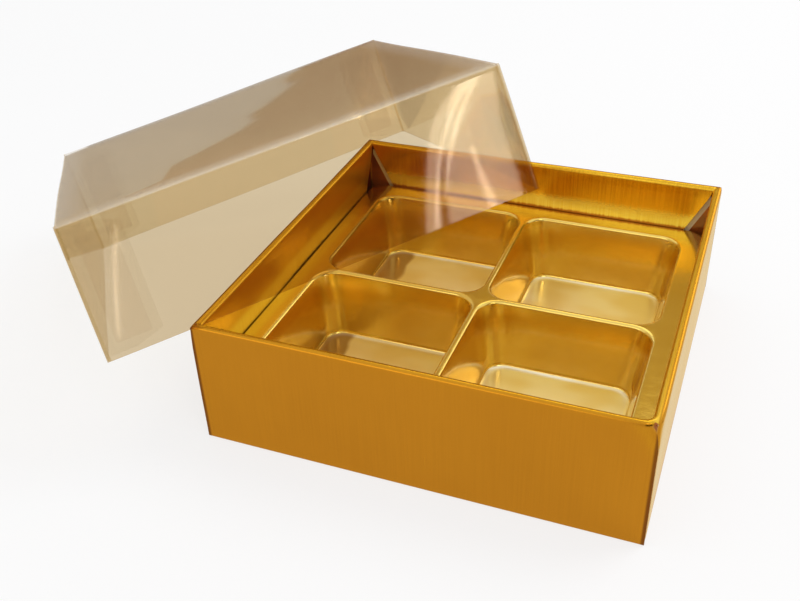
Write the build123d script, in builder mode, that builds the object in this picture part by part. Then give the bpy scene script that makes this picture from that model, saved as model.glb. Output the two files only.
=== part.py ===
from build123d import *
from math import asin, cos, radians, sin, sqrt, tan
import os

os.makedirs("parts", exist_ok=True)

# A small square chocolate box with its clear lid taken off and leaned on it.
# Lengths are millimetres. The carton stands on z = 0, centred on the origin,
# with its front wall towards -Y and its right wall towards +X.

# Folded carton tray
carton_width = 90.0  # outside, the same both ways
carton_height = 28.2  # underside to the top of the rolled rim
board_thickness = 0.5
layer_space = 0.75  # between the outer and the inner layer of a wall
bottom_fold_radius = 0.45  # outside of the folds along the bottom
corner_fold_radius = 1.0  # outside of the folds between side walls and flaps
rim_seam = 0.15  # each rolled rim stops this far short of the mitre line
panel_cut_angle = 27.0  # slope of the inner panels' cut ends, from upright
panel_foot_gap = 0.2  # inner panel's lower edge above the bottom panel
flap_length = 18.0  # glue flap, measured from the carton's side
flap_margin = 1.6  # the flap stops this far from the bottom and the rim roll
flap_corner_cut = 3.0
glue_thickness = 0.12
glue_inset = 2.5  # the glue film stops this far inside its flap's edges

# Formed insert tray
flange_drop = 12.0  # top of the insert's flange below the carton's rim
insert_sheet = 0.35
insert_side_gap = 0.4  # between the flange and the carton's inner panels
flange_corner_radius = 4.5
flange_border = 4.65  # flange's outer edge to the mouth of a cavity
divider_width = 1.6  # between the mouths of two cavities
cavity_draft = 9.5  # slope of the cavity walls, from upright
mouth_corner_radius = 4.5
mouth_round = 0.7  # rolled lip at the mouth of a cavity
floor_round = 1.4  # between a cavity's walls and its floor

# Folded clear lid
lid_height = 27.0
lid_sheet = 0.3
lid_clearance = 0.2  # each side, between a closed lid and the carton
lid_crease_radius = 0.27  # outside of the folds round the top panel
lid_corner_radius = 0.7  # outside of the folds between side walls and tabs
lid_tab_length = 12.0
lid_tab_margin = 0.8  # the tab stops this far from the top panel and the edge
lid_tab_corner_cut = 2.0
lid_glue_thickness = 0.1
lid_glue_inset = 2.0

# How the lid leans. Its lower edges lie in one plane, and that plane is set
# by three places: the near edge crosses the left rim, the right edge crosses
# the back rim, and the far left corner stands on the table.
rest_gap = 0.55  # lower edges above the rims they lean on
lid_corner_lift = 0.1  # lid's lowest corner above the table
left_rest_share = 0.975  # along the left rim, share of half the width forward
back_rest_share = 0.5  # along the back rim, share of half the width leftward
lid_swing_angle = 35.3  # near edge against the line through both rim places

cut_overrun = 2.0  # cutting shapes run this far past the surface they leave

# Carton sizes that follow
half_width = carton_width / 2
wall_thickness = 2 * board_thickness + layer_space
roll_radius = wall_thickness / 2
roll_level = carton_height - roll_radius
inner_half = half_width - wall_thickness
panel_foot = board_thickness + panel_foot_gap
panel_end_inset = (roll_level - panel_foot) * tan(radians(panel_cut_angle))
flap_face = half_width - board_thickness - glue_thickness
flap_bottom = board_thickness + flap_margin
flap_height = roll_level - flap_margin - flap_bottom
flap_centre_level = flap_bottom + flap_height / 2
flap_free_x = half_width - flap_length
flap_film_length = flap_length - corner_fold_radius - 2 * glue_inset
flap_film_x = flap_free_x + glue_inset + flap_film_length / 2
flap_film_y = half_width - board_thickness - glue_thickness / 2

# One rolled rim with its inner panel, drawn for the front wall: half a tube
# over the top, then the panel hanging down inside.
outer_face = -half_width
with BuildPart() as rolled_wall:
    with BuildSketch(Plane.YZ.offset(-half_width)):
        with BuildLine():
            ThreePointArc(
                (outer_face, roll_level),
                (outer_face + roll_radius, carton_height),
                (outer_face + wall_thickness, roll_level),
            )
            Polyline(
                (outer_face + wall_thickness, roll_level),
                (outer_face + wall_thickness, panel_foot),
                (outer_face + wall_thickness - board_thickness, panel_foot),
                (outer_face + wall_thickness - board_thickness, roll_level),
            )
            ThreePointArc(
                (outer_face + wall_thickness - board_thickness, roll_level),
                (outer_face + roll_radius, carton_height - board_thickness),
                (outer_face + board_thickness, roll_level),
            )
            Line((outer_face + board_thickness, roll_level), (outer_face, roll_level))
        make_face()
    extrude(amount=carton_width)
    # the ends meet the neighbouring rims on a mitre
    with BuildSketch(Plane.XY):
        with BuildLine():
            Polyline(
                (-half_width + rim_seam, -half_width),
                (half_width - rim_seam, -half_width),
                (inner_half - rim_seam, -inner_half),
                (rim_seam - inner_half, -inner_half),
                close=True,
            )
        make_face()
    extrude(amount=carton_height + cut_overrun, mode=Mode.INTERSECT)
    # the inner panel narrows towards its foot
    with BuildSketch(Plane.XZ.offset(inner_half - cut_overrun)):
        with BuildLine():
            Polyline(
                (-half_width, carton_height + cut_overrun),
                (half_width, carton_height + cut_overrun),
                (half_width, roll_level),
                (inner_half, roll_level),
                (inner_half - panel_end_inset, panel_foot),
                (panel_end_inset - inner_half, panel_foot),
                (-inner_half, roll_level),
                (-half_width, roll_level),
                close=True,
            )
        make_face()
    extrude(amount=wall_thickness + 2 * cut_overrun, mode=Mode.INTERSECT)

# The carton is one creased blank: bottom panel, four outer walls with their
# rolled rims, and glue flaps that fold in from both side walls.
with BuildPart() as base_carton:
    with BuildSketch(Plane.XY):
        Rectangle(carton_width, carton_width)
    extrude(amount=board_thickness)
    # front and back walls run the full width
    with BuildSketch(Plane.XY):
        with GridLocations(0, carton_width - board_thickness, 1, 2):
            Rectangle(carton_width, board_thickness)
    extrude(amount=roll_level)
    # side walls stop behind them and turn in
    with BuildSketch(Plane.XY):
        RectangleRounded(carton_width, 2 * flap_face, corner_fold_radius)
        RectangleRounded(
            carton_width - 2 * board_thickness,
            2 * (flap_face - board_thickness),
            corner_fold_radius - board_thickness,
            mode=Mode.SUBTRACT,
        )
        Rectangle(
            2 * (half_width - corner_fold_radius), carton_width, mode=Mode.SUBTRACT
        )
    extrude(amount=roll_level)
    with BuildSketch(Plane.XY.offset(flap_bottom)):
        RectangleRounded(carton_width, 2 * flap_face, corner_fold_radius)
        RectangleRounded(
            carton_width - 2 * board_thickness,
            2 * (flap_face - board_thickness),
            corner_fold_radius - board_thickness,
            mode=Mode.SUBTRACT,
        )
        Rectangle(2 * flap_free_x, carton_width, mode=Mode.SUBTRACT)
        Rectangle(
            carton_width, 2 * (flap_face - corner_fold_radius), mode=Mode.SUBTRACT
        )
    extrude(amount=flap_height)
    flap_ends = (
        base_carton.edges()
        .filter_by(Axis.Y)
        .filter_by(
            lambda e: abs(abs(e.center().X) - flap_free_x) < board_thickness
        )
    )
    chamfer(flap_ends, length=flap_corner_cut)
    with PolarLocations(0, 4):
        add(rolled_wall.part)
    # creases along the bottom
    bottom_creases = base_carton.edges().group_by(Axis.Z)[0]
    fillet(bottom_creases, radius=bottom_fold_radius)
base_carton.part.label = "base_carton"

# Dried glue between each flap and the wall it is stuck to.
with BuildPart() as carton_corner_glue:
    with Locations((0, 0, flap_centre_level)):
        with GridLocations(2 * flap_film_x, 2 * flap_film_y, 2, 2):
            Box(flap_film_length, glue_thickness, flap_height - 2 * glue_inset)
carton_corner_glue.part.label = "carton_corner_glue"

# Insert sizes that follow
flange_level = carton_height - flange_drop
insert_width = 2 * (inner_half - insert_side_gap)
cavity_pitch = (insert_width - 2 * flange_border + divider_width) / 2
mouth_width = cavity_pitch - divider_width
insert_foot = board_thickness
cavity_floor = insert_foot + insert_sheet
cavity_depth = flange_level - cavity_floor
under_offset = insert_sheet / cos(radians(cavity_draft))
under_mouth_width = mouth_width + 2 * under_offset

# Space inside one cavity, narrowing from the flange down to its floor.
with BuildPart() as cavity_space:
    with BuildSketch(Plane.XY.offset(flange_level)):
        RectangleRounded(mouth_width, mouth_width, mouth_corner_radius)
    extrude(amount=-cavity_depth, taper=cavity_draft)
    fillet(cavity_space.edges().group_by(Axis.Z)[0], radius=floor_round)

# The same cup seen from below, one sheet thickness larger.
with BuildPart() as cavity_cup:
    with BuildSketch(Plane.XY.offset(flange_level)):
        RectangleRounded(
            under_mouth_width, under_mouth_width, mouth_corner_radius + under_offset
        )
    extrude(amount=-cavity_depth - insert_sheet, taper=cavity_draft)
    fillet(
        cavity_cup.edges().group_by(Axis.Z)[0], radius=floor_round + insert_sheet
    )

# Air below the formed sheet: everything under the flange outside the cups.
with BuildPart() as insert_underside:
    with BuildSketch(Plane.XY.offset(insert_foot - cut_overrun)):
        Rectangle(insert_width + 2 * cut_overrun, insert_width + 2 * cut_overrun)
    extrude(amount=flange_level - insert_sheet - insert_foot + cut_overrun)
    with GridLocations(cavity_pitch, cavity_pitch, 2, 2):
        add(cavity_cup.part, mode=Mode.SUBTRACT)
    under_lips = insert_underside.faces().sort_by(Axis.Z)[-1].inner_wires().edges()
    fillet(under_lips, radius=mouth_round - insert_sheet)

# The insert is one vacuum-formed sheet: a flat flange and four deep cups.
with BuildPart() as insert_tray:
    with BuildSketch(Plane.XY.offset(insert_foot)):
        RectangleRounded(insert_width, insert_width, flange_corner_radius)
    extrude(amount=flange_level - insert_foot)
    with GridLocations(cavity_pitch, cavity_pitch, 2, 2):
        add(cavity_space.part, mode=Mode.SUBTRACT)
    lips = insert_tray.faces().sort_by(Axis.Z)[-1].inner_wires().edges()
    fillet(lips, radius=mouth_round)
    add(insert_underside.part, mode=Mode.SUBTRACT)
insert_tray.part.label = "insert_tray"

# Lid sizes that follow
lid_width = carton_width + 2 * (
    lid_clearance + 2 * lid_sheet + lid_glue_thickness
)
lid_half = lid_width / 2
lid_tab_face = lid_half - lid_sheet - lid_glue_thickness
lid_tab_height = lid_height - lid_sheet - 2 * lid_tab_margin
lid_tab_middle = lid_tab_margin + lid_tab_height / 2
lid_tab_free_x = lid_half - lid_tab_length
lid_film_length = lid_tab_length - lid_corner_radius - 2 * lid_glue_inset
lid_film_x = lid_tab_free_x + lid_glue_inset + lid_film_length / 2
lid_film_y = lid_half - lid_sheet - lid_glue_thickness / 2

# The two rim places, the level line through them and the lean of the plane
rest_level = carton_height + rest_gap
crest = half_width - roll_radius
left_rest = Vector(-crest, -left_rest_share * half_width, rest_level)
back_rest = Vector(-back_rest_share * half_width, crest, rest_level)
rest_span = (back_rest - left_rest).length
along_rests = (back_rest - left_rest).normalized()
level_side = Vector(along_rests.Y, -along_rests.X, 0)
swing_sin = sin(radians(lid_swing_angle))
swing_cos = cos(radians(lid_swing_angle))
lean_sin = (rest_level - lid_corner_lift) / (
    lid_width * (swing_sin + swing_cos) - rest_span * swing_sin * swing_cos
)
lean_cos = sqrt(1 - lean_sin * lean_sin)
uphill = level_side * lean_cos + Vector(0, 0, lean_sin)
near_edge = along_rests * swing_cos + uphill * swing_sin
side_edge = along_rests * swing_sin - uphill * swing_cos
near_right_corner = left_rest + near_edge * (rest_span * swing_cos)
lid_centre = near_right_corner + (side_edge - near_edge) * lid_half
lid_plane = Plane(
    origin=lid_centre, x_dir=near_edge, z_dir=near_edge.cross(side_edge)
)
lid_side_axis = Axis(lid_centre, side_edge)
lid_up_axis = Axis(lid_centre, lid_plane.z_dir)

# The lid is one creased clear sheet: top panel, near and far walls running
# the full width, and side walls whose tabs turn in behind them.
with BuildPart(lid_plane) as lid:
    with BuildSketch(lid_plane):
        with GridLocations(0, lid_width - lid_sheet, 1, 2):
            Rectangle(lid_width, lid_sheet)
    extrude(amount=lid_height)
    with BuildSketch(lid_plane):
        RectangleRounded(lid_width, 2 * lid_tab_face, lid_corner_radius)
        RectangleRounded(
            lid_width - 2 * lid_sheet,
            2 * (lid_tab_face - lid_sheet),
            lid_corner_radius - lid_sheet,
            mode=Mode.SUBTRACT,
        )
        Rectangle(2 * (lid_half - lid_corner_radius), lid_width, mode=Mode.SUBTRACT)
    extrude(amount=lid_height - lid_sheet)
    with BuildSketch(lid_plane.offset(lid_tab_margin)):
        RectangleRounded(lid_width, 2 * lid_tab_face, lid_corner_radius)
        RectangleRounded(
            lid_width - 2 * lid_sheet,
            2 * (lid_tab_face - lid_sheet),
            lid_corner_radius - lid_sheet,
            mode=Mode.SUBTRACT,
        )
        Rectangle(2 * lid_tab_free_x, lid_width, mode=Mode.SUBTRACT)
        Rectangle(
            lid_width, 2 * (lid_tab_face - lid_corner_radius), mode=Mode.SUBTRACT
        )
    extrude(amount=lid_tab_height)
    tab_ends = (
        lid.edges()
        .filter_by(lid_side_axis)
        .filter_by(
            lambda e: abs(
                abs((e.center() - lid_centre).dot(near_edge)) - lid_tab_free_x
            )
            < lid_sheet
        )
    )
    chamfer(tab_ends, length=lid_tab_corner_cut)
    with BuildSketch(lid_plane.offset(lid_height - lid_sheet)):
        Rectangle(lid_width, lid_width)
    extrude(amount=lid_sheet)
    top_creases = lid.faces().sort_by(lid_up_axis)[-1].edges()
    fillet(top_creases, radius=lid_crease_radius)
lid.part.label = "lid"

# Dried glue between each tab of the lid and the wall it is stuck to.
with BuildPart(lid_plane) as lid_corner_glue:
    with Locations((0, 0, lid_tab_middle)):
        with GridLocations(2 * lid_film_x, 2 * lid_film_y, 2, 2):
            Box(
                lid_film_length,
                lid_glue_thickness,
                lid_tab_height - 2 * lid_glue_inset,
            )
lid_corner_glue.part.label = "lid_corner_glue"

export_step(base_carton.part, "parts/base_carton.step")
export_step(carton_corner_glue.part, "parts/carton_corner_glue.step")
export_step(insert_tray.part, "parts/insert_tray.step")
export_step(lid.part, "parts/lid.step")
export_step(lid_corner_glue.part, "parts/lid_corner_glue.step")
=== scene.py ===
import math

import bmesh
import bpy
from mathutils import Matrix, Vector, noise


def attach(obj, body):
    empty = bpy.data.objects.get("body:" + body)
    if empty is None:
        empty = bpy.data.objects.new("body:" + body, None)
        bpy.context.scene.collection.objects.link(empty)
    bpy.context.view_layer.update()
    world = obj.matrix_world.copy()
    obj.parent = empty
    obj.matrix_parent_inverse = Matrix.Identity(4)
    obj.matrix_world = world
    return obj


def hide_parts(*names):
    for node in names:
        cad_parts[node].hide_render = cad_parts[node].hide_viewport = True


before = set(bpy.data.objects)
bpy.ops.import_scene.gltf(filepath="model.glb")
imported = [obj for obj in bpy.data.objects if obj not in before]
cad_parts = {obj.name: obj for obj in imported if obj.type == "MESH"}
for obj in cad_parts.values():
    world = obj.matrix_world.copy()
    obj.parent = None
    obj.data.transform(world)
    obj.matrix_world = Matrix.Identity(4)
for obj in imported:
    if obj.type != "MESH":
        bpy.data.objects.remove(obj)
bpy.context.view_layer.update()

mm = 0.001

# Gold carton: one blank of thin foil-laminated board, creased and folded up.
# Its walls roll over at the rim and hang down again inside, as panels with
# slanted ends, and flaps from the left and right walls are glued at the corners.
board = 0.5 * mm
carton_half = 45.0 * mm
rim_top = 28.2 * mm
roll_radius = 0.875 * mm
roll_level = rim_top - roll_radius
bottom_fold = 0.2 * mm
corner_fold = 0.75 * mm
flap_wall_inset = 1.62 * mm
rim_seam = 0.05 * mm
panel_slant = math.tan(math.radians(27.0))
flap_low, flap_high, flap_end = 2.1 * mm, 25.7 * mm, 27.0 * mm
flap_foot = 0.5 * mm
flap_end_share = 0.78
bottom_cells, bottom_fold_steps, roll_steps = 14, 3, 8
bottom_row_insets = (0.7 * mm, 1.5 * mm, 2.4 * mm)
outer_wall_rows = (2.1, 6.0, 10.5, 15.0, 19.5, 23.0, 25.7)
inner_panel_rows = (25.2, 23.5, 21.5, 19.5, 17.5, 15.0, 12.0, 9.0, 6.0, 3.0, 0.7)
board_unevenness, unevenness_spread = 0.22 * mm, 22 * mm
still_below = 1.0 * mm
rim_easing_start, rim_easing_height = 24 * mm, 3.3 * mm
soft_corner, crisp_corner = 3.6 * mm, 0.5 * mm
panel_end_low, panel_end_high, below_roll = 43.1 * mm, 43.9 * mm, 0.3 * mm
board_smoothing = math.radians(38)
touching = 0.02 * mm
hair = 0.01 * mm
merge_distance = 0.001 * mm


def deselect():
    if bpy.context.object and bpy.context.object.mode != "OBJECT":
        bpy.ops.object.mode_set(mode="OBJECT")
    bpy.ops.object.select_all(action="DESELECT")


def begin(name):
    """The primitive just added becomes the named piece, open for shaping."""
    piece = bpy.context.object
    piece.name = piece.data.name = name
    bpy.ops.object.mode_set(mode="EDIT")
    return piece


def place_in_mesh():
    bpy.ops.object.transform_apply(location=True, rotation=True, scale=True)


def pick(piece, kind, test):
    """Selects the edges or faces whose middle passes the test."""
    bpy.ops.mesh.select_mode(type=kind)
    bpy.ops.mesh.select_all(action="DESELECT")
    cage = bmesh.from_edit_mesh(piece.data)
    for part in cage.edges if kind == "EDGE" else cage.faces:
        middle = sum((v.co for v in part.verts), Vector()) / len(part.verts)
        if test(middle, part):
            part.select_set(True)
    cage.select_flush_mode()
    bmesh.update_edit_mesh(piece.data)


def near(a, b):
    return abs(a - b) < touching


def stands(edge):
    """True for an open edge that doesn't lie level."""
    ends = edge.verts
    return edge.is_boundary and abs(ends[0].co.z - ends[1].co.z) > hair


def pull_out(x, y, z):
    bpy.ops.mesh.extrude_region_move(TRANSFORM_OT_translate={"value": (x, y, z)})


def draw_out(start, rows):
    """Extrudes the selected front edge row by row. A row is (out, up, half)."""
    out, up, half = start
    for new_out, new_up, new_half in rows:
        pull_out(0, out - new_out, new_up - up)
        bpy.ops.transform.resize(
            value=(new_half / half, 1, 1), center_override=(0, 0, 0)
        )
        out, up, half = new_out, new_up, new_half


def turn_in(piece, side, start, radius, whole, tab, tab_end, end_share):
    """Folds a flap in from one upright end of the front wall.

    start is (out, x) of that end, whole and tab are (low, high) of what turns
    the corner and of the flap itself, which narrows to end_share at its end.
    """
    out, x = start
    pick(
        piece, "EDGE",
        lambda c, e: near(c.y, -out) and near(c.x, side * x) and stands(e)
        and whole[0] - hair < c.z < whole[1] + hair,
    )
    fold_steps = 4
    for step in range(1, fold_steps + 1):
        angle = math.radians(90 * step / fold_steps)
        new_x = start[1] + radius * math.sin(angle)
        new_out = start[0] - radius * (1 - math.cos(angle))
        pull_out(side * (new_x - x), out - new_out, 0)
        out, x = new_out, new_x
    pick(
        piece, "EDGE",
        lambda c, e: near(c.y, -out) and near(c.x, side * x) and stands(e)
        and tab[0] < c.z < tab[1],
    )
    half_way = (out - tab_end) / 2
    pull_out(0, half_way, 0)
    pull_out(0, half_way, 0)
    bpy.ops.transform.resize(
        value=(1, 1, end_share), center_override=(0, 0, (tab[0] + tab[1]) / 2)
    )


def quarter_turn():
    bpy.ops.mesh.select_all(action="SELECT")
    bpy.ops.transform.rotate(
        value=math.pi / 2, orient_axis="Z", center_override=(0, 0, 0)
    )


def give_thickness(piece, name, thickness, offset):
    thick = piece.modifiers.new(name, "SOLIDIFY")
    thick.thickness = thickness
    thick.offset = offset
    thick.use_even_offset = True
    return thick


def finish_modifiers(piece):
    bpy.ops.object.mode_set(mode="OBJECT")
    bpy.context.view_layer.objects.active = piece
    for modifier in list(piece.modifiers):
        bpy.ops.object.modifier_apply(modifier=modifier.name)


def wave(piece, strength, spread, still):
    """A gentle unevenness over the board, none where still(place) is true."""
    group = piece.vertex_groups.new(name="loose")
    group.add([v.index for v in piece.data.vertices if not still(v.co)], 1.0, "ADD")
    clouds = bpy.data.textures.new(piece.name + "_wave", "CLOUDS")
    clouds.noise_scale = spread
    clouds.noise_depth = 1
    bend = piece.modifiers.new("wave", "DISPLACE")
    bend.texture = clouds
    bend.texture_coords = "LOCAL"
    bend.strength = strength
    bend.mid_level = 0.5
    bend.vertex_group = "loose"


deselect()
bottom_half = carton_half - board / 2 - bottom_fold
bpy.ops.mesh.primitive_grid_add(
    x_subdivisions=bottom_cells, y_subdivisions=bottom_cells, size=2 * bottom_half,
    location=(0, 0, board / 2),
)
place_in_mesh()
carton = begin("folded_gold_carton")
for inset in bottom_row_insets:
    for side in (-1, 1):
        for axis in ((1, 0, 0), (0, 1, 0)):
            bpy.ops.mesh.select_all(action="SELECT")
            place = Vector(axis) * side * (bottom_half - inset)
            bpy.ops.mesh.bisect(plane_co=place, plane_no=axis)
for quarter in range(4):
    runs_through = quarter % 2 == 0
    wall_half = carton_half if runs_through else carton_half - flap_wall_inset
    upright = carton_half - board / 2
    rows = []
    for step in range(1, bottom_fold_steps + 1):
        a = math.radians(90 * step / bottom_fold_steps)
        rows.append((
            bottom_half + bottom_fold * math.sin(a),
            board / 2 + bottom_fold * (1 - math.cos(a)),
            wall_half,
        ))
    for level in outer_wall_rows:
        rows.append((upright, level * mm, wall_half))
    rows.append((upright, roll_level, wall_half))
    for step in range(1, roll_steps + 1):
        a = math.pi * step / roll_steps
        out = carton_half - roll_radius + (roll_radius - board / 2) * math.cos(a)
        up = roll_level + (roll_radius - board / 2) * math.sin(a)
        rows.append((out, up, out))
    panel_out = out
    for level in inner_panel_rows:
        slanted = (roll_level - level * mm) * panel_slant
        rows.append((panel_out, level * mm, panel_out - rim_seam - slanted))
    pick(
        carton, "EDGE",
        lambda c, e: near(c.y, -bottom_half) and near(c.z, board / 2)
        and e.is_boundary,
    )
    draw_out((bottom_half, board / 2, bottom_half), rows)
    if not runs_through:
        for side in (-1, 1):
            turn_in(
                carton, side, (upright, wall_half), corner_fold,
                (flap_foot, roll_level), (flap_low, flap_high),
                flap_end, flap_end_share,
            )
    quarter_turn()
bpy.ops.mesh.select_all(action="SELECT")
bpy.ops.mesh.remove_doubles(threshold=merge_distance)
bpy.ops.object.mode_set(mode="OBJECT")
wave(carton, board_unevenness, unevenness_spread, lambda p: p.z < still_below)
give_thickness(carton, "board", board, 0).material_offset_rim = 1
finish_modifiers(carton)


def round_rim_corner(piece, sx, sy, radius):
    """Eases one corner of the rolled rim into a curve, seen from above."""
    middle = Vector((sx * (carton_half - radius), sy * (carton_half - radius)))
    for v in piece.data.vertices:
        dx, dy = sx * (v.co.x - middle.x), sy * (v.co.y - middle.y)
        if dx > 0 and dy > 0:
            share = min(1.0, max(0.0, (v.co.z - rim_easing_start) / rim_easing_height))
            shell, reach = max(dx, dy), math.hypot(dx, dy)
            pull = 1 + (shell / reach - 1) * share
            v.co.x = middle.x + sx * dx * pull
            v.co.y = middle.y + sy * dy * pull


round_rim_corner(carton, 1, -1, soft_corner)
for sx, sy in ((-1, -1), (1, 1), (-1, 1)):
    round_rim_corner(carton, sx, sy, crisp_corner)


class Signal:
    """A shader socket. Sums and products with it add the Math nodes."""

    def __init__(self, tree, socket=None):
        self.tree, self.socket = tree, socket

    def node(self, kind, settings=None, inputs=None, output=0):
        made = self.tree.nodes.new("ShaderNode" + kind)
        for key, value in (settings or {}).items():
            setattr(made, key, value)
        for key, value in (inputs or {}).items():
            if isinstance(value, Signal):
                self.tree.links.new(value.socket, made.inputs[key])
            else:
                made.inputs[key].default_value = value
        return Signal(self.tree, made.outputs[output] if made.outputs else None)

    def maths(self, operation, *values, **settings):
        settings["operation"] = operation
        return self.node("Math", settings, dict(enumerate(values)))

    def __add__(self, other):
        return self.maths("ADD", self, other)

    def __radd__(self, other):
        return self.maths("ADD", other, self)

    def __sub__(self, other):
        return self.maths("SUBTRACT", self, other)

    def __rsub__(self, other):
        return self.maths("SUBTRACT", other, self)

    def __mul__(self, other):
        return self.maths("MULTIPLY", self, other)

    def __rmul__(self, other):
        return self.maths("MULTIPLY", other, self)

    def clamped(self):
        return self.maths("ADD", self, 0.0, use_clamp=True)

    def blend(self, first, second):
        """Colour mix by this value: 0 gives the first, 1 the second."""
        return self.node(
            "Mix", {"data_type": "RGBA"}, {0: self, 6: first, 7: second}, 2
        )


def material(name):
    made = bpy.data.materials.new(name)
    made.use_nodes = True
    made.node_tree.nodes.clear()
    return made, Signal(made.node_tree)


def close(made, net, shader):
    net.node("OutputMaterial", None, {"Surface": shader})
    return made


def speckle(net, scale, detail=2.0, rough=0.5):
    """Noise fixed to the piece, with scale in spots per metre along x, y, z."""
    spot = net.node("TexCoord", None, None, "Object")
    where = net.node("Mapping", None, {"Vector": spot, "Scale": scale})
    return net.node("TexNoise", None, {
        "Vector": where, "Scale": 1.0, "Detail": detail, "Roughness": rough,
    })


def object_place(net):
    """Object coordinates x, y and z, in metres."""
    spot = net.node("TexCoord", None, None, "Object")
    return [net.node("SeparateXYZ", None, {0: spot}, i) for i in range(3)]


def ramp_up(value, low, high):
    """0 at low and 1 at high, also where high is the smaller of the two."""
    return value.node("MapRange", {"interpolation_type": "SMOOTHSTEP"}, {
        "Value": value, "From Min": low, "From Max": high,
    })


def raised(net, height, strength, depth):
    return net.node("Bump", None, {
        "Strength": strength, "Distance": depth, "Height": height,
    })


def satin_foil():
    # painted light and shade: the foil is one material, but its outer walls get a darker
    # tone as a painted dark reflection, and its inner panels lighter tones, lighter on
    # the side panels than on the back ones
    outer_deep, outer_light = (0.47, 0.18, 0.005, 1), (0.56, 0.225, 0.008, 1)
    side_deep, side_light = (0.78, 0.47, 0.04, 1), (0.94, 0.64, 0.07, 1)
    back_deep, back_light = (0.62, 0.33, 0.014, 1), (0.84, 0.50, 0.03, 1)
    highlight_band_deep, highlight_band_light = (0.86, 0.60, 0.06, 1), (1.0, 0.84, 0.16, 1)
    flange_shade_brown, fold_shade_maroon = (0.42, 0.15, 0.012, 1), (0.10, 0.014, 0.001, 1)
    recess_shade_brown, bare_board = (0.34, 0.085, 0.014, 1), (0.84, 0.71, 0.53, 1)
    # where each change starts and ends, as heights or as distances outward
    rim_heights, bottom_heights = (26.6 * mm, rim_top), (0.2 * mm, 0.1 * mm)
    highlight_band_heights, floor_heights = (21.9 * mm, 19.8 * mm), (1.2 * mm, 1.0 * mm)
    flange_shade_top, flange_shade_foot = (17.4 * mm, 16.7 * mm), (15.0 * mm, 15.7 * mm)
    skin_reach, fold_reach = (44.4 * mm, 44.1 * mm), (44.1 * mm, 44.6 * mm)
    shaded_recess_reach, floor_reach = (43.6 * mm, 43.8 * mm), (43.6 * mm, 43.4 * mm)
    strip_width, strip_reach = (1.7 * mm, 1.6 * mm), (43.45 * mm, 43.4 * mm)
    rim_middle = 44.0 * mm
    panel_end_top, panel_end_reach = 27.3 * mm, 43.25 * mm
    highlight_band_wander, flange_shade_wander = 1.2 * mm, 0.3 * mm

    made, net = material("satin_gold_foil")
    x, y, z = object_place(net)
    x, y = x.maths("ABSOLUTE", x), y.maths("ABSOLUTE", y)
    reach, along = x.maths("MAXIMUM", x, y), x.maths("MINIMUM", x, y)
    grain = ramp_up(speckle(net, (3200, 3200, 45), 2.0, 0.55), 0.3, 0.7)
    cloud = speckle(net, (70, 70, 70), 3.0, 0.55)
    fine = speckle(net, (3800, 3800, 3800), 1.0)
    crinkle = speckle(net, (900, 900, 2600), 3.0, 0.7)

    # where the foil is: over the rim, turned in, below, on front or back panels
    over_rim = ramp_up(z - (reach - rim_middle), *rim_heights)
    turned_in = ramp_up(reach, *skin_reach)
    underside = ramp_up(z, *bottom_heights)
    inside = turned_in * (1 - underside)
    streaked = ramp_up(y - x, -1 * mm, 1 * mm)

    tone = (cloud * 0.6 + grain * (0.25 + turned_in * streaked * 0.25)).clamped()
    # painted light and shade: a darker outer tone and lighter inner side and back tones
    # of the same foil
    outer = tone.blend(outer_deep, outer_light)
    inner = streaked.blend(
        tone.blend(side_deep, side_light), tone.blend(back_deep, back_light)
    )
    # painted highlight: a bright band low on the inner panels, and less metallic on the
    # back panels
    painted_highlight_band = ramp_up(z + tone * highlight_band_wander, *highlight_band_heights)
    inner = painted_highlight_band.blend(inner, tone.blend(highlight_band_deep, highlight_band_light))
    # painted shade: the panels are darkened brown where they meet the insert's flange,
    # where shade falls between the parts, most at the front and back
    flange_shade = ramp_up(z + grain * flange_shade_wander, *flange_shade_top) * ramp_up(z, *flange_shade_foot)
    flange_shade = flange_shade * (streaked * 0.8 + 0.2)
    inner = flange_shade.blend(inner, flange_shade_brown)
    # the outer top of the rim takes part of the lighter inner tone, a painted sheen along
    # the roll
    foil = over_rim.maths("MAXIMUM", over_rim * 0.35, inside).blend(outer, inner)

    # the upright outer folds, darkened maroon as a painted dark reflection
    fold = ramp_up(along, *fold_reach) * (1 - over_rim) * (1 - turned_in)
    foil = (fold * (0.55 + cloud * 0.4)).clamped().blend(foil, fold_shade_maroon)

    # bare board beside the slanted ends of the inner panels, and on the floor,
    # where the blank's unlaminated back shows
    past_end = along - (panel_end_reach - (panel_end_top - z) * panel_slant)
    # painted shade: the recess past the panel ends is coloured dark brown and made less
    # metallic
    shaded_recess = ramp_up(reach, *shaded_recess_reach) * turned_in
    shaded_recess = shaded_recess * ramp_up(past_end, 0.0, 0.1 * mm)
    bare_strip = shaded_recess * ramp_up(past_end, *strip_width) * ramp_up(along, *strip_reach)
    bare_floor = inside * ramp_up(z, *floor_heights) * ramp_up(reach, *floor_reach)
    bare = bare_strip.maths("MAXIMUM", bare_strip, bare_floor)
    colour = bare.blend(shaded_recess.blend(foil, recess_shade_brown), bare_board)

    height = (
        grain * (0.15 + turned_in * (streaked * 0.4 - 0.1))
        + fine * 0.35 + crinkle * over_rim * 2.0
    )
    metallic = (
        1 - shaded_recess * 0.7 - bare * 0.3 - bare_floor * 0.7
        - painted_highlight_band * inside * streaked * 0.4
    )
    roughness = (
        0.22 + cloud * 0.05 + turned_in * (0.08 - streaked * 0.12) + bare * 0.45
        + grain * (0.02 + turned_in * streaked * 0.04)
    )
    return close(made, net, net.node("BsdfPrincipled", None, {
        "Base Color": colour, "Metallic": metallic.clamped(), "Roughness": roughness,
        "Specular Tint": (1.0, 0.82, 0.46, 1), "Coat Weight": 0.15,
        "Coat Roughness": 0.2, "Normal": raised(net, height, 0.2, 0.04 * mm),
    }))


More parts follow.
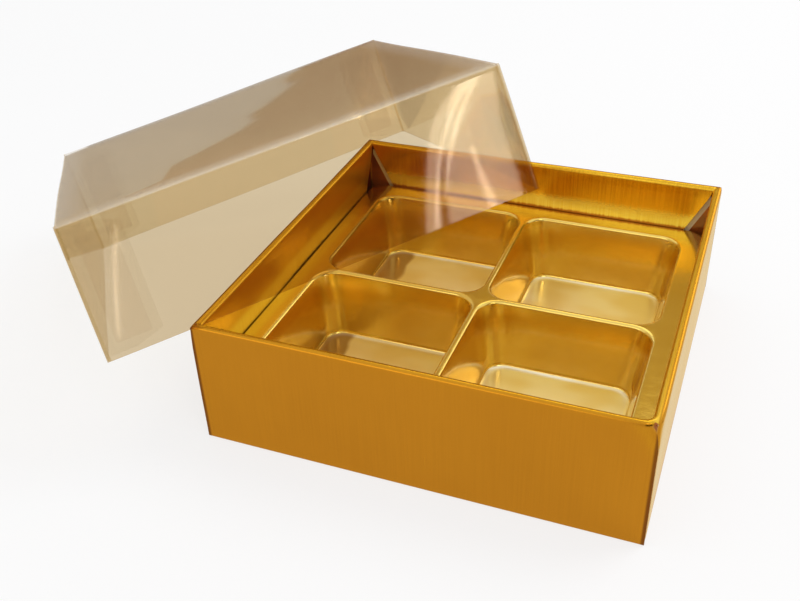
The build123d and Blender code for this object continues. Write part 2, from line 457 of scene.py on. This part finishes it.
def raw_board():
    made, net = material("raw_board_edge")
    fibre = speckle(net, (900, 900, 3200), 4.0, 0.65)
    return close(made, net, net.node("BsdfPrincipled", None, {
        "Base Color": fibre.blend((0.50, 0.36, 0.20, 1), (0.86, 0.74, 0.56, 1)),
        "Roughness": 0.85, "Normal": raised(net, fibre, 0.35, 0.06 * mm),
    }))


carton.data.materials.append(satin_foil())
carton.data.materials.append(raw_board())
for face in carton.data.polygons:
    c = face.center
    # of the cut edges, only the inner panels' ends show the raw board
    on_panel_end = (
        panel_end_low < max(abs(c.x), abs(c.y)) < panel_end_high
        and c.z < roll_level - below_roll
    )
    if face.material_index == 1 and not on_panel_end:
        face.material_index = 0
bpy.ops.object.shade_smooth_by_angle(angle=board_smoothing)
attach(carton, "base")
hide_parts("base_carton")

# Carton glue: white glue, dried to a thin film between each flap and its wall
# and sealed inside the corners.


def dried_glue():
    made, net = material("dried_white_glue")
    cloud = speckle(net, (500, 500, 500), 3.0)
    return close(made, net, net.node("BsdfPrincipled", None, {
        "Base Color": cloud.blend((0.62, 0.55, 0.42, 1), (0.86, 0.82, 0.72, 1)),
        "Roughness": 0.55, "Normal": raised(net, cloud, 0.4, 0.05 * mm),
    }))


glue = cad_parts["carton_corner_glue"]
glue.data.materials.clear()
glue.data.materials.append(dried_glue())

# Formed insert: one sheet of metallised plastic, vacuum formed into a flat
# flange with four deep cups, trimmed round its edge and set loose into the
# carton.
insert_half = 43.0 * mm
insert_corner = 4.5 * mm
flange_top = 16.2 * mm
insert_sheet = 0.35 * mm
cup_place = 19.5 * mm
mouth_half = 18.7 * mm
mouth_corner = 5.2 * mm
lip = 0.72 * mm
draft_angle = 9.5
draft = math.radians(draft_angle)
lip_angles = (20, 40, 60, 90 - draft_angle)
cup_floor = 0.85 * mm
floor_round = 1.2 * mm
floor_round_reach = 0.92
floor_angles = (25, 45, 65, 90)
floor_crown = ((0.9, 0.04), (0.7, 0.08), (0.45, 0.05), (0.2, 0.02))
corner_steps = 8
insert_smoothing = math.radians(40)

deselect()
bpy.ops.mesh.primitive_plane_add(size=2 * insert_half, location=(0, 0, flange_top))
place_in_mesh()
insert = begin("formed_gold_insert")
bpy.ops.mesh.bevel(affect="VERTICES", offset=insert_corner, segments=corner_steps)
bpy.ops.mesh.delete(type="ONLY_FACE")


def cup_rows():
    """(half width, level) of a cup's rows, from its lip down to its floor."""
    rows = []
    for angle in lip_angles:
        a = math.radians(angle)
        rows.append((
            mouth_half + lip * (1 - math.sin(a)), flange_top - lip * (1 - math.cos(a))
        ))
    wall_low = cup_floor + floor_round
    for share in (0.25, 0.5, 0.75, 1.0):
        up = flange_top - lip - (flange_top - lip - wall_low) * share
        rows.append((mouth_half - (flange_top - up) * math.tan(draft), up))
    foot_half = rows[-1][0]
    for angle in floor_angles:
        a = math.radians(angle)
        rows.append((
            foot_half - floor_round * (1 - math.cos(a)) * floor_round_reach,
            wall_low - floor_round * math.sin(a),
        ))
    up = rows[-1][1]
    for shrink, rise in floor_crown:
        up += rise * mm
        rows.append((shrink * foot_half, up))
    return rows


for cx in (-cup_place, cup_place):
    for cy in (-cup_place, cup_place):
        half, up = mouth_half + lip, flange_top
        bpy.ops.mesh.select_all(action="DESELECT")
        bpy.ops.mesh.primitive_plane_add(size=2 * half, location=(cx, cy, up))
        bpy.ops.mesh.bevel(
            affect="VERTICES", offset=mouth_corner, segments=corner_steps
        )
        for new_half, new_up in cup_rows():
            pull_out(0, 0, new_up - up)
            bpy.ops.transform.resize(
                value=(new_half / half, new_half / half, 1),
                center_override=(cx, cy, new_up),
            )
            half, up = new_half, new_up
pick(insert, "FACE", lambda c, f: near(c.z, flange_top))
bpy.ops.mesh.delete(type="ONLY_FACE")
pick(insert, "EDGE", lambda c, e: near(c.z, flange_top))
bpy.ops.mesh.fill(use_beauty=True)
bpy.ops.mesh.select_all(action="SELECT")
bpy.ops.mesh.normals_make_consistent(inside=False)
cage = bmesh.from_edit_mesh(insert.data)
flat = [f for f in cage.faces if near(f.calc_center_median().z, flange_top)]
if sum(f.normal.z * f.calc_area() for f in flat) < 0:
    bpy.ops.mesh.flip_normals()
give_thickness(insert, "sheet", insert_sheet, -1)
finish_modifiers(insert)


def mirror_gold():
    gold_deep, gold_light = (0.77, 0.54, 0.10, 1), (0.84, 0.61, 0.13, 1)
    pale_deep, pale_light = (0.87, 0.71, 0.36, 1), (0.95, 0.86, 0.63, 1)
    floor_edge_shade_brown = (0.33, 0.16, 0.03, 1)
    thinned_and_sheen_heights = (1.4 * mm, 1.0 * mm)
    floor_edge_shade_reach, floor_edge_shade_wander = (-8.3 * mm, -9.8 * mm), 1.5 * mm

    made, net = material("metallised_gold_sheet")
    cloud = speckle(net, (120, 120, 120))
    ripple = speckle(net, (260, 260, 140))
    fine = speckle(net, (2400, 2400, 2400))
    x, _, z = object_place(net)
    # the metal is drawn thin and pale on the floors; the paleness is also a painted sheen
    # of the light from above
    thinned_and_sheen = ramp_up(z, *thinned_and_sheen_heights)
    milky = ramp_up(speckle(net, (75, 110, 40), 1.0), 0.38, 0.66)
    # painted shade: a dark brown band down the left side of each left-hand floor
    from_middle = x + cup_place + milky * floor_edge_shade_wander
    floor_edge_shade = ramp_up(from_middle, *floor_edge_shade_reach) * ramp_up(x, 0.0, -1 * mm)
    pale = milky.blend(pale_deep, pale_light)
    pale = (floor_edge_shade * 0.85).blend(pale, floor_edge_shade_brown)
    colour = thinned_and_sheen.blend(cloud.blend(gold_deep, gold_light), pale)
    height = ripple * 0.8 + fine * 0.03 * (1 - thinned_and_sheen)
    return close(made, net, net.node("BsdfPrincipled", None, {
        "Base Color": colour, "Metallic": 1 - thinned_and_sheen * 0.2,
        "Roughness": 0.21 + cloud * 0.03 + thinned_and_sheen * 0.07, "Coat Weight": 0.8,
        "Coat Roughness": 0.05, "Normal": raised(net, height, 0.4, 0.25 * mm),
    }))


insert.data.materials.append(mirror_gold())
bpy.ops.object.shade_smooth_by_angle(angle=insert_smoothing)
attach(insert, "insert")
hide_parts("insert_tray")

# Clear lid: one clear sheet, creased and folded into a top panel and four
# walls, with tabs glued behind the near and far walls. It leans on the left
# and back rims with its far left corner on the table.
lid_half = 45.9 * mm
lid_height = 27.0 * mm
sheet = 0.3 * mm
top_level = lid_height - sheet / 2
lid_crease = 0.38 * mm
lid_fold = 0.55 * mm
tab_wall_inset = 1.1 * mm
tab_low, tab_high, tab_length = 0.8 * mm, 25.9 * mm, 12 * mm
tab_root_high = 26.2 * mm
tab_end_share = 0.86
lid_cells = 16
crease_angles = (22, 45, 67, 90)
lid_wall_rows = (25.9, 22.5, 18.5, 14.5, 10.5, 6.5, 3.0, 0.8, 0.0)
whitened_depth = 0.42 * mm
tab_face_low, tab_face_high = 0.36 * mm, 0.8 * mm
tab_face_top, tab_fold_inset = 26 * mm, 1.2 * mm
below_crease, wall_skin = 0.5 * mm, 0.4 * mm
tab_sheet, near_wall_sheet, other_wall_sheet = 1, 2, 3
lid_smoothing = math.radians(35)

deselect()
top_half = lid_half - sheet / 2 - lid_crease
bpy.ops.mesh.primitive_grid_add(
    x_subdivisions=lid_cells, y_subdivisions=lid_cells, size=2 * top_half,
    location=(0, 0, top_level),
)
place_in_mesh()
lid = begin("folded_clear_lid")
for quarter in range(4):
    runs_through = quarter % 2 == 0
    wall_half = lid_half if runs_through else lid_half - tab_wall_inset
    upright = lid_half - sheet / 2
    rows = []
    for angle in crease_angles:
        a = math.radians(angle)
        rows.append((
            top_half + lid_crease * math.sin(a),
            top_level - lid_crease * (1 - math.cos(a)),
            wall_half,
        ))
    for level in lid_wall_rows:
        rows.append((upright, level * mm, wall_half))
    pick(
        lid, "EDGE",
        lambda c, e: near(c.y, -top_half) and near(c.z, top_level) and e.is_boundary,
    )
    draw_out((top_half, top_level, top_half), rows)
    if not runs_through:
        for side in (-1, 1):
            turn_in(
                lid, side, (upright, wall_half), lid_fold,
                (0.0, tab_root_high), (tab_low, tab_high),
                lid_half - tab_length, tab_end_share,
            )
    quarter_turn()
bpy.ops.mesh.select_all(action="SELECT")
bpy.ops.mesh.remove_doubles(threshold=merge_distance)
bpy.ops.mesh.normals_make_consistent(inside=False)
give_thickness(lid, "sheet", sheet, 0)
finish_modifiers(lid)

creased = lid.data.attributes.new("crease", "FLOAT", "POINT")
for v, whitened in zip(lid.data.vertices, creased.data):
    whitened.value = float(
        v.co.z > lid_height - whitened_depth
        and max(abs(v.co.x), abs(v.co.y)) > top_half - touching
    )
for face in lid.data.polygons:
    c = face.center
    behind_wall = tab_face_low < lid_half - abs(c.y) < tab_face_high
    if behind_wall and c.z < tab_face_top and abs(c.x) < lid_half - tab_fold_inset:
        face.material_index = tab_sheet
    elif c.y < wall_skin - lid_half and c.z < lid_height - below_crease:
        face.material_index = near_wall_sheet
    elif c.z < lid_height - below_crease:
        face.material_index = other_wall_sheet

# how far each corner (x side, y side, top or open edge) is off square, in mm
lid_corner_give = {
    (-1, 1, 1): (1.05, 0.1, 0.3), (1, 1, 1): (-0.2, 0.1, 0.3),
    (1, -1, 1): (-0.3, -0.15, -1.4), (-1, -1, 1): (1.2, 0.1, -0.2),
    (1, -1, 0): (0.3, -1.8, -1.1), (-1, -1, 0): (0.0, -1.4, -0.4),
}
bow, bow_spread = 0.28 * mm, 46 * mm
# noise vectors start from the clock unless a seed is set
bow_seed = 4
noise.seed_set(bow_seed)


def give(place):
    """The limp sheet yields: its corners are off square and its panels bow."""
    moved = place.copy()
    for (sx, sy, top), offset in lid_corner_give.items():
        share = (
            max(0.0, 1 + sx * place.x / lid_half) / 2
            * max(0.0, 1 + sy * place.y / lid_half) / 2
            * (place.z / lid_height if top else 1 - place.z / lid_height)
        )
        moved += Vector(offset) * mm * share
    return moved + noise.noise_vector(place / bow_spread) * bow


def leaning():
    """Where the lid stands: its edges on two rims, one corner on the table."""
    rest_level = rim_top + 0.55 * mm
    corner_lift = 0.1 * mm
    left_rest_share, back_rest_share = 0.975, 0.5
    swing = math.radians(35.3)

    crest = carton_half - roll_radius
    on_left = Vector((-crest, -left_rest_share * carton_half, rest_level))
    on_back = Vector((-back_rest_share * carton_half, crest, rest_level))
    span = (on_back - on_left).length
    line = (on_back - on_left).normalized()
    level_side = Vector((line.y, -line.x, 0))
    s, c = math.sin(swing), math.cos(swing)
    rise = (rest_level - corner_lift) / (2 * lid_half * (s + c) - span * s * c)
    uphill = level_side * math.sqrt(1 - rise * rise) + Vector((0, 0, rise))
    near_edge = line * c + uphill * s
    side_edge = line * s - uphill * c
    middle = on_left + near_edge * (span * c) + (side_edge - near_edge) * lid_half
    turn = Matrix((near_edge, side_edge, near_edge.cross(side_edge))).transposed()
    return Matrix.Translation(middle) @ turn.to_4x4()


for v in lid.data.vertices:
    v.co = give(v.co)
lean = leaning()
lid.matrix_world = lean
deselect()
lid.select_set(True)
bpy.context.view_layer.objects.active = lid
place_in_mesh()


def clear_sheet(name, tint, haze, grazing):
    made, net = material(name)
    streak = speckle(net, (30, 30, 18), 1.0)
    fine = speckle(net, (900, 900, 900))
    bump = raised(net, streak, 0.1, 1.2 * mm)
    gloss = net.node("BsdfPrincipled", None, {
        "Base Color": (0.80, 0.72, 0.60, 1), "Metallic": 1.0,
        "Roughness": 0.02 + fine * 0.04, "Normal": bump,
    })
    through = net.node("BsdfTransparent", None, {"Color": tint})
    slant = net.node("LayerWeight", None, {"Blend": 0.5, "Normal": bump}, "Facing")
    share = slant.maths("POWER", slant, 5.0) * grazing + haze + fine * 0.012
    clear = net.node("MixShader", None, {0: share.clamped(), 1: through, 2: gloss})
    whitened = net.node("Attribute", {"attribute_name": "crease"}, None, "Fac")
    cloudy = net.node("BsdfPrincipled", None, {
        "Base Color": (0.97, 0.93, 0.86, 1), "Roughness": 0.35,
    })
    return close(made, net, net.node("MixShader", None, {
        0: (whitened * (fine * 0.2 + 0.08)).clamped(), 1: clear, 2: cloudy,
    }))


# in the order of the faces' material numbers; the one sheet is tinted deepest on the near
# wall and deeper on the top panel than on the other walls, as painted shade
for name, tint, haze, grazing in (
    ("clear_top_panel", (0.888, 0.818, 0.705, 1), 0.035, 0.9),
    ("clear_glued_tab", (0.985, 0.978, 0.965, 1), 0.006, 0.15),
    ("clear_near_wall", (0.868, 0.785, 0.64, 1), 0.035, 0.9),
    ("clear_other_walls", (0.942, 0.902, 0.80, 1), 0.035, 0.9),
):
    lid.data.materials.append(clear_sheet(name, tint, haze, grazing))
bpy.ops.object.shade_smooth_by_angle(angle=lid_smoothing)
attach(lid, "lid")
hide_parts("lid")

# Lid glue: a clear film between each tab and its wall, a little cloudy where
# it dried unevenly.
glue_film = 0.1 * mm
glue_start, glue_end = 35.9 * mm, 43.0 * mm
glue_low, glue_high = 2.8 * mm, 23.9 * mm


def clear_glue():
    made, net = material("clear_dried_glue")
    cloud = speckle(net, (400, 400, 400), 3.0)
    gloss = net.node("BsdfPrincipled", None, {
        "Base Color": (0.93, 0.90, 0.84, 1), "Roughness": 0.3,
    })
    through = net.node("BsdfTransparent", None, {"Color": (0.99, 0.98, 0.97, 1)})
    return close(made, net, net.node("MixShader", None, {
        0: (0.01 + cloud * 0.04).clamped(), 1: through, 2: gloss,
    }))


films = []
for sx in (-1, 1):
    for sy in (-1, 1):
        deselect()
        bpy.ops.mesh.primitive_cube_add(size=1, location=(
            sx * (glue_start + glue_end) / 2,
            sy * (lid_half - sheet - glue_film / 2),
            (glue_low + glue_high) / 2,
        ))
        film = bpy.context.object
        film.scale = (glue_end - glue_start, glue_film, glue_high - glue_low)
        place_in_mesh()
        bpy.ops.object.mode_set(mode="EDIT")
        bpy.ops.mesh.select_all(action="SELECT")
        bpy.ops.mesh.subdivide(number_cuts=3)
        films.append(film)
deselect()
for film in films:
    film.select_set(True)
lid_glue = films[0]
bpy.context.view_layer.objects.active = lid_glue
bpy.ops.object.join()
lid_glue.name = lid_glue.data.name = "clear_lid_glue"
for v in lid_glue.data.vertices:
    v.co = lean @ give(v.co)
lid_glue.data.materials.append(clear_glue())
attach(lid_glue, "lid")
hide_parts("lid_corner_glue")

# Studio: a pale table, a soft light high on the right, a small lamp in front,
# and white all round. Cards and bent lamp tubes stand out of view, only to be
# mirrored by the foil and the clear sheet.
table_size, table_drop = 6.0, 0.02 * mm
table_grey, table_white = (0.70, 0.68, 0.65, 1), (0.97, 0.97, 0.97, 1)
room_grey, white = (0.7, 0.7, 0.71, 1), (1, 1, 1, 1)
table_glow = 0.75

deselect()
bpy.ops.mesh.primitive_plane_add(size=table_size, location=(0, 0, -table_drop))
place_in_mesh()
table_top = bpy.context.object
table_top.name = "table_top"


def seen_directly(net):
    """1 for the camera and for what metal and clear sheet show, else 0."""
    rays = [net.node("LightPath", None, None, "Is %s Ray" % kind)
            for kind in ("Camera", "Glossy", "Transmission")]
    return (rays[0] + rays[1] + rays[2]).clamped()


def pale_table():
    made, net = material("pale_table")
    shown = seen_directly(net)
    lit = net.node("BsdfPrincipled", None, {
        "Base Color": shown.blend(table_grey, table_white), "Roughness": 0.9,
        "Specular IOR Level": 0.1,
    })
    glow = net.node("Emission", None, {"Color": white, "Strength": 1.0})
    return close(made, net, net.node("MixShader", None, {
        0: shown * table_glow, 1: lit, 2: glow,
    }))


table_top.data.materials.append(pale_table())

world = bpy.data.worlds.new("white_room")
bpy.context.scene.world = world
world.use_nodes = True
world.node_tree.nodes.clear()
net = Signal(world.node_tree)
sky = net.node("Background", None, {
    "Color": seen_directly(net).blend(room_grey, white), "Strength": 1.0,
})
net.node("OutputWorld", None, {"Surface": sky})


def soft_light(name, place, size, power, mirrored):
    lamp = bpy.data.lights.new(name, "AREA")
    lamp.shape, lamp.size, lamp.energy = "DISK", size, power
    holder = bpy.data.objects.new(name, lamp)
    bpy.context.scene.collection.objects.link(holder)
    holder.location = place
    holder.visible_glossy = mirrored
    holder.rotation_mode = "QUATERNION"
    holder.rotation_quaternion = (-Vector(place)).to_track_quat("-Z", "Y")


soft_light("key_light", (0.45, 0.35, 0.75), size=0.5, power=2.4, mirrored=False)
soft_light("front_lamp", (0.34, -0.36, 0.60), size=0.16, power=0.4, mirrored=True)


def only_mirrored(thing):
    for sight in ("camera", "diffuse", "shadow"):
        setattr(thing, "visible_" + sight, False)


def card(name, place, width, height, colour, strength=1.0, faces=None, cut=None):
    """A glowing board that faces the box, or another way, and may be cut."""
    deselect()
    bpy.ops.mesh.primitive_plane_add(size=1)
    sheet_card = begin(name)
    bpy.ops.transform.resize(value=(width, height, 1))
    if cut:
        bpy.ops.mesh.select_all(action="SELECT")
        bpy.ops.mesh.bisect(plane_co=cut[0], plane_no=cut[1], clear_outer=True)
    bpy.ops.object.mode_set(mode="OBJECT")
    turn = Vector(faces or [-c for c in place]).to_track_quat("Z", "Y")
    sheet_card.matrix_world = Matrix.Translation(place) @ turn.to_matrix().to_4x4()
    place_in_mesh()
    made, net = material(name)
    sheet_card.data.materials.append(close(made, net, net.node(
        "Emission", None, {"Color": colour, "Strength": strength}
    )))
    only_mirrored(sheet_card)


face_up, toward_lid = (0, 0, 1), (0.62, -0.785, 0)
pale_grey, dark_brown = (0.45, 0.41, 0.37, 1), (0.30, 0.18, 0.10, 1)
warm_brown, near_black = (0.45, 0.29, 0.07, 1), (0.05, 0.04, 0.03, 1)
card_lift = 0.3 * mm

# behind the lid, for the S-shaped edge on its top panel
card("back_pale_card", (-0.24, 0.26, 0.075), 0.7, 0.15, pale_grey, faces=toward_lid)
card("back_table_card", (-0.24, 0.20, card_lift), 0.36, 0.22, pale_grey, faces=face_up)
card("back_dark_card_left", (-0.207, 0.186, 0.0715), 0.11, 0.095, dark_brown,
     faces=toward_lid, cut=((-0.046, -0.0285, 0), (-0.64, -0.77, 0)))
card("back_dark_card_right", (0.025, 0.369, 0.062), 0.49, 0.12, dark_brown,
     faces=toward_lid)

# behind and in front of the box, for its walls, its inside and the insert
card("warm_card", (-0.05, 0.54, 0.38), 0.42, 0.27, warm_brown)
card("high_back_card", (-0.03, 0.35, 0.52), 0.36, 0.14, (1, 0.93, 0.75, 1), 2.4)
card("warm_card_right", (0.31, 0.50, 0.276), 0.18, 0.12, warm_brown)
card("front_right_card", (0.48, -0.38, 0.70), 0.55, 0.50, (0.42, 0.28, 0.09, 1))
card("front_left_card", (-0.19, -0.46, 0.335), 0.34, 0.13, (1, 0.97, 0.90, 1), 2.4)
card("back_right_card", (0.36, 0.50, 0.17), 0.3, 0.2, (1, 0.96, 0.88, 1), 2.5)
card("side_dark_card", (0.52, -0.46, 0.17), 0.8, 0.5, near_black)
card("right_table_card", (0.0655, 0.0, card_lift), 0.0405, 0.22,
     (0.86, 0.92, 0.78, 1), 1.22, faces=face_up)


def bent_tube(name, strength, spots, glass=False):
    """A bent lamp tube. A spot on it is (x, y, z, radius in mm)."""
    line = bpy.data.curves.new(name, "CURVE")
    line.dimensions, line.bevel_depth = "3D", 1 * mm
    path = line.splines.new("NURBS")
    path.points.add(len(spots) - 1)
    for point, (x, y, z, radius) in zip(path.points, spots):
        point.co, point.radius = (x, y, z, 1.0), radius
    path.use_endpoint_u, path.order_u = True, 3
    tube = bpy.data.objects.new(name, line)
    bpy.context.scene.collection.objects.link(tube)
    made, net = material(name)
    glow = net.node("Emission", None, {"Color": (1, 0.96, 0.92, 1), "Strength": strength})
    if glass:
        through = net.node("BsdfTransparent")
        glow = net.node("AddShader", None, {0: glow, 1: through})
    line.materials.append(close(made, net, glow))
    only_mirrored(tube)


bent_tube("tube_left", 10.0, (
    (0.503, -0.281, 0.228, 0.8), (0.493, -0.311, 0.202, 1.4),
    (0.484, -0.340, 0.155, 1.5), (0.482, -0.357, 0.100, 1.6),
))
bent_tube("tube_middle", 10.0, (
    (0.503, -0.281, 0.228, 0.8), (0.497, -0.305, 0.200, 1.6),
    (0.488, -0.333, 0.150, 1.2), (0.487, -0.343, 0.125, 0.4),
))
bent_tube("tube_far_left", 5.0, (
    (0.291, -0.523, 0.160, 1.0), (0.284, -0.538, 0.115, 1.7),
    (0.287, -0.546, 0.070, 1.2),
))
bent_tube("soft_tube_left", 2.0, (
    (0.503, -0.281, 0.228, 1.0), (0.487, -0.322, 0.200, 5.0),
    (0.480, -0.340, 0.163, 5.5), (0.479, -0.358, 0.100, 6.0),
), glass=True)
bent_tube("soft_tube_right", 3.0, (
    (0.501, -0.313, 0.160, 1.0), (0.506, -0.316, 0.127, 3.5),
    (0.515, -0.312, 0.090, 4.0),
), glass=True)
bent_tube("soft_tube_wide", 2.3, (
    (0.503, -0.284, 0.226, 8.0), (0.500, -0.296, 0.205, 18.0),
    (0.501, -0.312, 0.165, 25.0), (0.507, -0.324, 0.085, 33.0),
), glass=True)

# Camera: where the photograph was taken from, to the right of the front and
# above, with the focal length given in pixels of the photograph.
photo_width, focal_pixels = 800, 981.1
camera_place = Vector((52.31, -172.92, 136.90)) * mm
azimuth, elevation, roll = (math.radians(a) for a in (22.488, 33.947, -2.2155))
sensor_width = 36.0

back = Vector((
    math.sin(azimuth) * math.cos(elevation),
    -math.cos(azimuth) * math.cos(elevation),
    math.sin(elevation),
))
right = Vector((0, 0, 1)).cross(back).normalized()
up = back.cross(right)
across = right * math.cos(roll) + up * math.sin(roll)
upright_axis = up * math.cos(roll) - right * math.sin(roll)
lens = bpy.data.cameras.new("camera")
lens.sensor_width = sensor_width
lens.lens = sensor_width * focal_pixels / photo_width
lens.clip_start, lens.clip_end = 0.005, 20
camera = bpy.data.objects.new("camera", lens)
bpy.context.scene.collection.objects.link(camera)
camera.matrix_world = (
    Matrix.Translation(camera_place)
    @ Matrix((across, upright_axis, back)).transposed().to_4x4()
)
bpy.context.scene.camera = camera
bpy.context.scene.view_settings.view_transform = "Standard"
bpy.context.scene.cycles.transparent_max_bounces = 48
bpy.context.scene.cycles.max_bounces = 16
bpy.context.scene.cycles.glossy_bounces = 12
